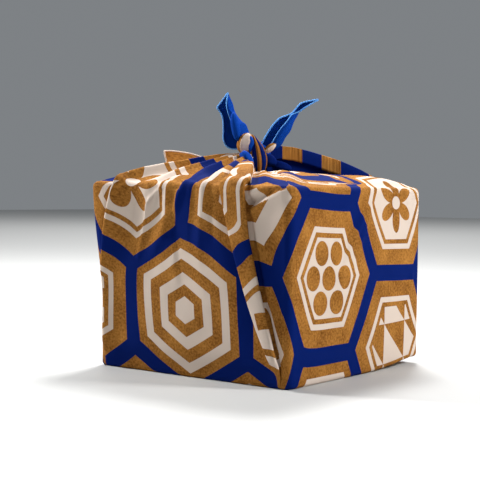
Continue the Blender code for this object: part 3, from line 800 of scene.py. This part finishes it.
class Sheet:
    """Collects patches of the cloth: points, faces and each face corner's place on the flat cloth."""

    def __init__(self):
        self.points, self.faces, self.flat = [], [], []
        self.count = 0       # of the points so far

    def add(self, grid, start, end=None, wrap=False):
        """grid is (rows, columns, 3). start and end are the flat places (rows, columns, 2) of a
        column as the left and as the right end of a stretch; wrap closes the grid on itself."""
        end = start if end is None else end
        rows, columns = grid.shape[:2]
        index = self.count + np.arange(rows * columns).reshape(rows, columns)
        if wrap:
            index, start, end = (np.concatenate((a, a[:, :1]), 1) for a in (index, start, end))
        low, high = index[:-1], index[1:]
        faces = np.stack((low[:, :-1], low[:, 1:], high[:, 1:], high[:, :-1]), -1)
        flat = np.stack((start[:-1, :-1], end[:-1, 1:], end[1:, 1:], start[1:, :-1]), 2)
        self.points.append(grid.reshape(-1, 3))
        self.faces.append(faces.reshape(-1, 4))
        self.flat.append(flat.reshape(-1, 2))
        self.count += rows * columns

    def build(self, name):
        """The mesh object of all that was added."""
        mesh = bpy.data.meshes.new(name)
        points, faces = np.concatenate(self.points), np.concatenate(self.faces)
        mesh.from_pydata(points.tolist(), [], faces.tolist())
        layer = mesh.uv_layers.new(name="flat_cloth")
        layer.uv.foreach_set("vector", np.concatenate(self.flat).astype(np.float32).ravel())
        mesh.shade_smooth()
        return put(name, mesh)


def add_parcel(sheet):
    """The cloth round the parcel, its bottom and the layers folded under the tied ends."""
    grid, parts, backs, starts, ends = skin()
    rows = skin_rows()
    up = np.array([r[1] for r in rows])[:, None] + np.zeros(grid.shape[1])
    along = np.array([r[0][3] for r in rows])[:, None] + np.zeros(grid.shape[1])
    top = [r[0][0] for r in rows].index("top")
    step = np.linalg.norm(np.diff(grid[top:], axis=0), axis=2)
    up[top + 1:] += np.cumsum(step, axis=0)
    start = flat_places(parts, backs, starts, up, along, grid)
    end = flat_places(np.roll(parts, 1), np.roll(backs, 1), ends, up, along, grid)
    sheet.add(grid, start, end, wrap=True)
    ring = grid[0]
    shares = np.array(BOTTOM_SHARES)[:, None, None]
    under = ring[None] * np.concatenate([shares, shares, np.ones_like(shares)], axis=2)
    under[..., 2] = ring[None, :, 2] * shares[..., 0] ** BOTTOM_RISE
    sheet.add(under, under[..., :2], wrap=True)
    add_folded_layers(sheet, grid, parts, top)


def add_folded_layers(sheet, grid, parts, top):
    """Coarse layers under the top and behind the panels, clear of the skin's own edges."""
    half_way = grid.shape[1] // 2
    for first in (0, half_way):
        last = first + half_way
        for depth in TOP_LAYERS:
            folded = grid[top:-KNOT_CLEAR:TOP_THINNED[0], first + FOLD_COLUMNS:last:TOP_THINNED[1]].copy()
            folded[..., 2] -= depth * MM
            sheet.add(folded, folded[..., 1::-1] + np.array(LAYER_ON_CLOTH))
        panel = np.nonzero((parts == PANEL)[first:last])[0] + first
        panel = panel[SIDES_CLEAR:-SIDES_CLEAR:PANEL_THINNED[1]]
        folded = grid[FOOT_CLEAR:top - EDGE_CLEAR:PANEL_THINNED[0], panel].copy()
        folded[..., 1] -= np.sign(folded[..., 1]) * PANEL_LAYER * MM
        sheet.add(folded, folded[..., ::2] + np.array(PANEL_ON_CLOTH))


def facing(across, behind, height):
    """Points given in the ears' upright plane: across it, behind it and up, all in mm."""
    turn = math.radians(VIEW_TURN)
    x = across * math.cos(turn) - behind * math.sin(turn)
    y = across * math.sin(turn) + behind * math.cos(turn)
    return np.stack((x, y, height + 0 * x), -1) * MM


def fine(net, row_steps, column_steps):
    """A smooth grid through a net of (rows, columns, n) values."""
    rows, columns = net.shape[:2]
    across = smooth(np.moveaxis(net, 1, -1), [column_steps] * (columns - 1))
    down = smooth(np.moveaxis(across, 0, -1), [row_steps] * (rows - 1))
    return np.moveaxis(down, (-1, -2), (0, 1))


def add_hem(sheet, line, flat):
    """A rolled hem along a line of points, all of it at one place of the flat cloth."""
    run = np.gradient(line, axis=0)
    run /= np.maximum(np.linalg.norm(run, axis=1, keepdims=True), 1e-9)
    side = np.cross(run, np.array(HEM_AWAY))
    side /= np.linalg.norm(side, axis=1, keepdims=True)
    out = np.cross(side, run)
    turn = np.linspace(0, 2 * math.pi, HEM_SIDES, endpoint=False)[None, :, None]
    ring = line[:, None] + HEM_ROLL * (np.cos(turn) * side[:, None] + np.sin(turn) * out[:, None])
    sheet.add(ring, np.broadcast_to(np.array(flat), ring.shape[:2] + (2,)), wrap=True)


def add_ear(sheet, rows, sign):
    """One free end as a half-open leaf: from its far hem round behind to its near hem."""
    section = np.array(EAR_SECTION)
    behind, bulge, aside = section[:, 4:].T
    net = []
    for *places, depth in rows:
        x, z = (section[:, :4] @ np.array(places).reshape(4, 2)).T
        net.append(np.column_stack((x + bulge * depth + aside, behind * depth, z)))
    net = fine(np.array(net), *EAR_STEPS)
    rows, columns = net.shape[:2]
    grid = facing(net[..., 0], net[..., 1], net[..., 2])
    v = EAR_START + np.linspace(0, 1, rows)[:, None] * (EAR_TIP - EAR_START) + np.zeros(columns)
    across = np.linspace(-1, 1, columns) * (CLOTH_TIP - v)
    sheet.add(grid, np.stack((across, sign * v), -1))
    # the rolled hems sit at a place of the hem, so they take its painted-highlight blue
    for column in (0, -1):
        add_hem(sheet, grid[:, column], EAR_HEM_HIGHLIGHT)


def add_lobe(sheet, across, behind, z, long, wide, deep, tilt, grooves, flat_x, flat_y, run, round_):
    """One lobe of the knot, told as in their table."""
    turn = np.linspace(0, 2 * math.pi, LOBE_COLUMNS)[None, :]
    lean = np.linspace(-math.pi / 2, math.pi / 2, LOBE_ROWS)[:, None]
    groove = np.cos(grooves * turn + GROOVE_TWIST * np.sin(lean)) * np.cos(lean) ** 0.5
    size = 1 + GROOVE_DEPTH * groove
    x = long * np.sin(lean) + 0 * turn
    y = deep * np.cos(lean) * np.cos(turn) * size
    up = wide * np.cos(lean) * np.sin(turn) * size
    tilt = math.radians(tilt)
    aside = x * math.cos(tilt) + up * math.sin(tilt)
    height = -x * math.sin(tilt) + up * math.cos(tilt)
    grid = facing(across + aside, behind + y, z + height)
    flat = np.stack((flat_x + round_ * (turn / math.pi - 1) / 2 + 0 * lean,
                     flat_y + run * lean / math.pi + 0 * turn), -1) * MM
    sheet.add(grid, flat)


def along_border(run, inset):
    """Flat places so far along the cloth's edge from its middle and so far in from it, metres."""
    edge = CLOTH_SIDE / 2 - inset + 0 * run
    return np.stack((edge - run, edge + run), -1) * math.sqrt(0.5)


def add_strap(sheet):
    """The strap over the knot: an arched strip with the border's bars running along it."""
    spots = smooth(np.array(STRAP).T, [STRAP_STEPS] * (len(STRAP) - 1)).T
    middle, half = spots[:, :3], spots[:, 3:]
    run = np.gradient(middle, axis=0)
    out = middle - np.array(LOBES[0][:3])
    run /= np.linalg.norm(run, axis=1, keepdims=True)
    out -= (out * run).sum(1, keepdims=True) * run
    out /= np.linalg.norm(out, axis=1, keepdims=True)
    side = np.cross(run, out)
    t = np.linspace(-1, 1, STRAP_COLUMNS)[None, :, None]
    lift = STRAP_CROWN * (np.cos(t * STRAP_ARC) - STRAP_SINK) + CORD_HEIGHT * np.cos(t * CORD_TURN)
    points = middle[:, None] + side[:, None] * half[:, None] * t + out[:, None] * lift
    grid = facing(points[..., 0], points[..., 1], points[..., 2])
    bars = STRAP_BARS * (t[..., 0] + 1) / 2 + np.zeros(grid.shape[:2])
    sheet.add(grid, along_border(STRAP_START + bars * BAR, HEM + STRAP_INSET))


def add_flap(sheet):
    """The flap's corner, with a hem up its near side and along its top."""
    lip_x, lip_y, lip_z = FLAP_LIP
    net = []
    for y, foot_x, top_x, top_z in FLAP:
        bend = ((foot_x + top_x) / 2 + FLAP_BULGE, y, (FLAP_FOOT + top_z) / 2)
        lip = (top_x + lip_x, y + lip_y, top_z + lip_z)
        net.append(((foot_x, y, FLAP_FOOT), bend, lip, (top_x, y, top_z)))
    grid = fine(np.array(net), *FLAP_STEPS) * MM
    rows, columns = grid.shape[:2]
    bars = FLAP_BARS * np.linspace(0, 1, rows)[:, None] + np.zeros(columns)
    sheet.add(grid, along_border(FLAP_START + bars * BAR, np.linspace(FLAP_CLOTH, 0, columns)))
    add_hem(sheet, np.concatenate((grid[0], grid[1:, -1])), FLAP_HEM)


# The camera, fitted from the parcel's corners
SENSOR, LENS = 36.0, 86.87             # mm
AZIMUTH, ELEVATION, ROLL = 37.69, 2.36, 0.68         # degrees, from -Y towards +X
CAMERA_BACK, CAMERA_ASIDE, CAMERA_UP = 1.01368, -0.0204, 0.10844   # m, from the origin

WORLD_COLOUR, WORLD_STRENGTH = (0.8, 0.85, 0.9, 1), 0.26
FLOOR_COLOUR, FLOOR_ROUGHNESS, FLOOR_REACH = (0.50, 0.50, 0.49, 1), 0.6, 6.0
# Square lights that face a target: metres and watts
#    name         spot                  target           size  power
LIGHTS = (
    ("key",       (-1.30, -0.42, 1.20), (0, 0, 0.1),     0.25, 38),
    ("rim",       (-0.35, 0.75, 1.35),  (0, 0, 0.1),     0.35, 26),
    ("side",      (1.25, 0.55, 1.05),   (0, 0, 0.1),     0.30, 25),
    ("fill",      (0.9, -1.5, 0.7),     (0, 0, 0.1),     1.2,  1.6),
    ("far floor", (-1.7, 2.2, 2.4),     (-1.8, 2.4, 0),  2.4,  75),
)


def camera():
    data = bpy.data.cameras.new("camera")
    data.sensor_width = SENSOR
    data.lens = LENS
    azimuth, elevation, roll = (math.radians(turn) for turn in (AZIMUTH, ELEVATION, ROLL))
    back = Vector((math.sin(azimuth) * math.cos(elevation), -math.cos(azimuth) * math.cos(elevation),
                   math.sin(elevation)))
    right = Vector((math.cos(azimuth), math.sin(azimuth), 0.0))
    up = back.cross(right)
    spot = back * CAMERA_BACK + right * CAMERA_ASIDE + Vector((0, 0, CAMERA_UP))
    rolled_right = math.cos(roll) * right + math.sin(roll) * up
    rolled_up = math.cos(roll) * up - math.sin(roll) * right
    turned = Matrix((rolled_right, rolled_up, back)).transposed()
    thing = put("camera", data)
    thing.matrix_world = Matrix.Translation(spot) @ turned.to_4x4()
    bpy.context.scene.camera = thing


def area_light(name, spot, target, size, power):
    data = bpy.data.lights.new(name, "AREA")
    data.size = size
    data.energy = power
    thing = put(name, data)
    thing.location = spot
    thing.rotation_euler = (Vector(target) - Vector(spot)).to_track_quat("-Z", "Y").to_euler()


def stage():
    """The soft surroundings, the pale floor and the lights."""
    world = bpy.data.worlds.new("studio")
    world.use_nodes = True
    background = world.node_tree.nodes["Background"]
    background.inputs["Color"].default_value = WORLD_COLOUR
    background.inputs["Strength"].default_value = WORLD_STRENGTH
    bpy.context.scene.world = world
    mesh = bpy.data.meshes.new("floor")
    corners = [(x * FLOOR_REACH, y * FLOOR_REACH, 0) for x, y in ((-1, -1), (1, -1), (1, 1), (-1, 1))]
    mesh.from_pydata(corners, [], [(0, 1, 2, 3)])
    finish, shader = new_finish("floor")
    shader.inputs["Base Color"].default_value = FLOOR_COLOUR
    shader.inputs["Roughness"].default_value = FLOOR_ROUGHNESS
    mesh.materials.append(finish)
    floor = put("floor", mesh)
    for light in LIGHTS:
        area_light(*light)


# The print's sizes, in parcel widths
PITCH = 0.6076           # between the middles of neighbouring hexagons
NET = 0.886              # the gold cells' share of that pitch; the rest is the blue net
NET_MIDDLE = (-0.0016, -0.7765)        # the middle of cell (0, 0), from the cloth's middle
BLUE = (0.001, 0.011, 0.115, 1)
CORNER_BLUE = (0.003, 0.050, 0.34, 1)
# painted highlight: a lighter blue for the blue corners' hems, where their rims catch the light
HEM_HIGHLIGHT_BLUE = (0.14, 0.42, 0.95, 1)
GOLD_LIGHT = (0.56, 0.25, 0.052, 1)
GOLD_DARK = (0.13, 0.043, 0.006, 1)
WHITE = (0.64, 0.53, 0.45, 1)

# The cells' white motifs: rings, from and to shares of the cell (1 at the net's midline), and a
# field inside the outer ring
OUTER_RING, FIELD = (0.585, 0.66), 0.52
CONCENTRIC_RINGS, CONCENTRIC_MIDDLE = ((0.61, 0.745), (0.30, 0.443)), 0.16
THICK_RING = (0.51, 0.745)
TWO_RINGS = ((0.66, 0.745), (0.30, 0.38))
# and what leaves the field gold, in parcel widths: squares (step, shift, from, to: across and
# up), discs, triangles, and a flower of petals round an eye
SQUARES = ((0.13, 0.01, 0.03, 0.10), (0.24, 0.0745, 0.03, 0.108))
DISC_RADIUS, DISC_CIRCLE, DISCS = 0.048, 0.112, 6
TRIANGLE = 0.17
PETAL_PAIRS, PETAL_SWELL, PETAL_WAIST, FLOWER_EYE = 3, 0.085, 0.045, 0.028
KINDS, KINDS_A_ROW = 7, 2              # of cells, and how many a row of them goes on by
OTHER_CELL, OTHER_STEP = (-1, 0), 2    # the cell that goes on by so many more

# The print's places, in metres on the flat cloth
CORNER_PLAIN = 0.40      # from the cloth's middle to where its tied corners turn plain blue
BORDER = 35 * MM         # the barred border along the cloth's edges
BAR = 19.5 * MM          # one bar of the border
HEM = 2.8 * MM
EAR_START = CORNER_PLAIN + 2 * MM      # where the ends leave the knot
EAR_TIP = CLOTH_TIP - 2 * HEM
EAR_HEM_HIGHLIGHT = (0.0346, 0.4589)             # a place in a blue corner's hem, which is painted lighter blue as a highlight
FLAP_HEM = (0.0, -0.1553)              # a white place
PAINTED_SHADE_PLACE = (0.0, -0.2255)          # a place of the blue net, laid on the cloth under the band behind as painted shade
BAND_CLOTH = 0.11        # cloth drawn in across that band
BAND_START = 0.2195      # along the cloth's edge from its middle to the knot, as the band shows it
BAND_LAST = 6.5 * BAR    # the same to the bar in which the band's end beside the side fold stays

# A hem where it shows as a roll: its radius, its sides and a direction that no hem runs in
HEM_ROLL = 0.65 * MM
HEM_SIDES = 6
HEM_AWAY = (0.6, -0.8, 0.1)

# Noises of the gold and of the cloth's grain: scale, detail, roughness; then the gold's mottle
CLOUDS, GRAINS, WEAVE = (45.0, 2.0, 0.5), (520.0, 3.0, 0.6), (900.0, 2.0, 0.6)
CLOUDINESS, GRAININESS, GOLD_MEAN = 0.8, 1.5, 0.42
WEAVE_STRENGTH, WEAVE_HEIGHT = 0.25, 0.6 * MM
ROUGHNESS, SPECULAR = 0.78, 0.03


class Value:
    """A shader number that can be worked with like a Python one."""

    nodes = links = None

    def __init__(self, source):
        self.source = source

    @staticmethod
    def feed(slots, values):
        """Give values or plain numbers to a node's inputs."""
        for slot, value in zip(slots, values):
            if isinstance(value, Value):
                Value.links.new(value.source, slot)
            else:
                slot.default_value = value

    @staticmethod
    def math(kind, *inputs):
        node = Value.nodes.new("ShaderNodeMath")
        node.operation = kind
        Value.feed(node.inputs, inputs)
        return Value(node.outputs[0])


for method, kind in (("__add__", "ADD"), ("__sub__", "SUBTRACT"), ("__mul__", "MULTIPLY"),
                     ("__truediv__", "DIVIDE"), ("__lt__", "LESS_THAN"), ("__gt__", "GREATER_THAN"),
                     ("abs", "ABSOLUTE"), ("round", "ROUND"), ("mod", "FLOORED_MODULO"),
                     ("max", "MAXIMUM"), ("min", "MINIMUM")):
    setattr(Value, method, lambda self, *others, kind=kind: Value.math(kind, self, *others))
Value.__rsub__ = lambda self, other: Value.math("SUBTRACT", other, self)


def either(choice, yes, no):
    """yes where choice is 1, no where it is 0."""
    return choice * (yes - no) + no


def inside(value, low, high):
    """1 where the value is between the two, 0 elsewhere."""
    return (value > low) * (value < high)


def is_number(value, number):
    """1 where a rounded value is that number."""
    return inside(value, number - 0.5, number + 0.5)


def in_steps(value, step, shift, low, high):
    """1 where the shifted value is between the two in its step."""
    return inside((value + shift).mod(step), low, high)


def length(x, y):
    return Value.math("SQRT", x * x + y * y)


def hexagon(x, y):
    """Distance from a cell's middle in hexagons that point along y: 1 at the net's midline."""
    x, y = x.abs(), y.abs()
    return x.max(x * 0.5 + y * (math.sqrt(3) / 2)) / (PITCH / 2)


def motif_masks(x, y, q):
    """White parts of each kind of cell, by kind number."""
    ring, field = inside(q, *OUTER_RING), q < FIELD
    concentric, rings = (inside(q, *wide) + inside(q, *small)
                         for wide, small in (CONCENTRIC_RINGS, TWO_RINGS))
    concentric = concentric + (q < CONCENTRIC_MIDDLE)
    squares = in_steps(x, *SQUARES[0]) * in_steps(y, *SQUARES[1])
    thick = inside(q, *THICK_RING)
    discs = length(x, y) < DISC_RADIUS
    for k in range(DISCS):
        angle = math.pi * (2 * k + 1) / DISCS
        away = length(x - DISC_CIRCLE * math.cos(angle), y - DISC_CIRCLE * math.sin(angle))
        discs = discs.max(away < DISC_RADIUS)
    triangles = ((x / TRIANGLE + 0.5).mod(1.0) + (y / TRIANGLE + 0.5).mod(1.0)) > 1.0
    angle = Value.math("ARCTAN2", y, x)
    petal = Value.math("COSINE", angle * PETAL_PAIRS).abs() * PETAL_SWELL + PETAL_WAIST
    flower = (length(x, y) < petal) * (length(x, y) > FLOWER_EYE)
    return [concentric, ring + field * (1 - squares), thick, ring + field * (1 - discs),
            ring + field * (1 - triangles), ring + field * (1 - flower), rings]


def print_masks(u, v):
    """White, blue, blue corner and painted-highlight hem masks at a place on the flat cloth, in metres.
    """
    x, y = u / SIDE - NET_MIDDLE[0], v / SIDE - NET_MIDDLE[1]
    wide, tall = PITCH, PITCH * math.sqrt(3)
    ax, ay = (x + wide / 2).mod(wide) - wide / 2, (y + tall / 2).mod(tall) - tall / 2
    bx, by = x.mod(wide) - wide / 2, y.mod(tall) - tall / 2
    first = length(ax, ay) < length(bx, by)
    cx, cy = either(first, ax, bx), either(first, ay, by)
    row = ((y - cy) / (tall / 2)).round()
    column = ((x - cx) / wide - row * 0.5).round()
    other = is_number(column, OTHER_CELL[0]) * is_number(row, OTHER_CELL[1])
    kind = (column + row * KINDS_A_ROW + other * OTHER_STEP + 0.5).mod(KINDS)
    q = hexagon(cx, cy)
    masks = motif_masks(cx, cy, q)
    parts = [inside(kind, number, number + 1) * mask for number, mask in enumerate(masks)]
    white = parts[0]
    for part in parts[1:]:
        white = white + part
    e1, e2 = ((u + v) * math.sqrt(0.5)).abs(), ((u - v) * math.sqrt(0.5)).abs()
    edge = e1.max(e2)
    border = (edge > CLOTH_SIDE / 2 - BORDER) * (v.abs() > u.abs())
    bars = (e1.min(e2) / (2 * BAR)).mod(1.0) < 0.5
    corner = v.abs() > CORNER_PLAIN
    # the blue corners' hems, which are painted lighter as a highlight
    hem = (edge > CLOTH_SIDE / 2 - HEM) * corner
    white = white * (1 - border) * (1 - corner)
    blue = ((q > NET) * (1 - border) + border * bars).max(corner)
    return white, blue, corner, hem


def mixed(factor, first, second):
    """A colour between two, as a value of the shader."""
    node = Value.nodes.new("ShaderNodeMix")
    node.data_type = "RGBA"
    colours = [slot for slot in node.inputs if slot.type == "RGBA"]
    Value.feed([node.inputs[0]] + colours, (factor, first, second))
    return Value(next(slot for slot in node.outputs if slot.type == "RGBA"))


def noise(*settings):
    """A noise at a place, with its scale, detail and roughness."""
    node = Value.nodes.new("ShaderNodeTexNoise")
    Value.feed([node.inputs[slot] for slot in ("Vector", "Scale", "Detail", "Roughness")], settings)
    return Value(node.outputs[0])


def cloth_finish():
    """The cotton with its print, worked out from the map "flat_cloth"."""
    finish, shader = new_finish("printed_cloth_finish")
    tree = finish.node_tree
    Value.nodes, Value.links = tree.nodes, tree.links
    place = tree.nodes.new("ShaderNodeUVMap")
    place.uv_map = "flat_cloth"
    apart = tree.nodes.new("ShaderNodeSeparateXYZ")
    tree.links.new(place.outputs[0], apart.inputs[0])
    u, v = Value(apart.outputs[0]), Value(apart.outputs[1])
    spot = Value(place.outputs[0])
    white, blue, corner, hem = print_masks(u, v)
    mottle = (noise(spot, *CLOUDS) - 0.5) * CLOUDINESS + (noise(spot, *GRAINS) - 0.5) * GRAININESS
    mottle = (mottle + GOLD_MEAN).max(0.0).min(1.0)
    gold = mixed(mottle, GOLD_DARK, GOLD_LIGHT)
    colour = mixed(white, gold, WHITE)
    colour = mixed(blue, colour, BLUE)
    colour = mixed(corner, colour, CORNER_BLUE)
    # painted highlight: lighter blue along the blue corners' hems
    colour = mixed(hem, colour, HEM_HIGHLIGHT_BLUE)
    tree.links.new(colour.source, shader.inputs["Base Color"])
    shader.inputs["Roughness"].default_value = ROUGHNESS
    shader.inputs["Specular IOR Level"].default_value = SPECULAR
    bump = tree.nodes.new("ShaderNodeBump")
    bump.inputs["Strength"].default_value = WEAVE_STRENGTH
    bump.inputs["Distance"].default_value = WEAVE_HEIGHT
    tree.links.new(noise(spot, *WEAVE).source, bump.inputs["Height"])
    tree.links.new(bump.outputs[0], shader.inputs["Normal"])
    return finish


def main():
    bpy.context.scene.view_settings.view_transform = "Standard"
    camera()
    stage()
    sheet = Sheet()
    add_parcel(sheet)
    add_ear(sheet, LEFT_EAR, 1)
    add_ear(sheet, RIGHT_EAR, -1)
    for lobe in LOBES:
        add_lobe(sheet, *lobe)
    add_strap(sheet)
    add_flap(sheet)
    cloth = sheet.build("tied_cloth")
    cloth.data.materials.append(cloth_finish())
    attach(cloth, "root")
    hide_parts(NODE)


main()
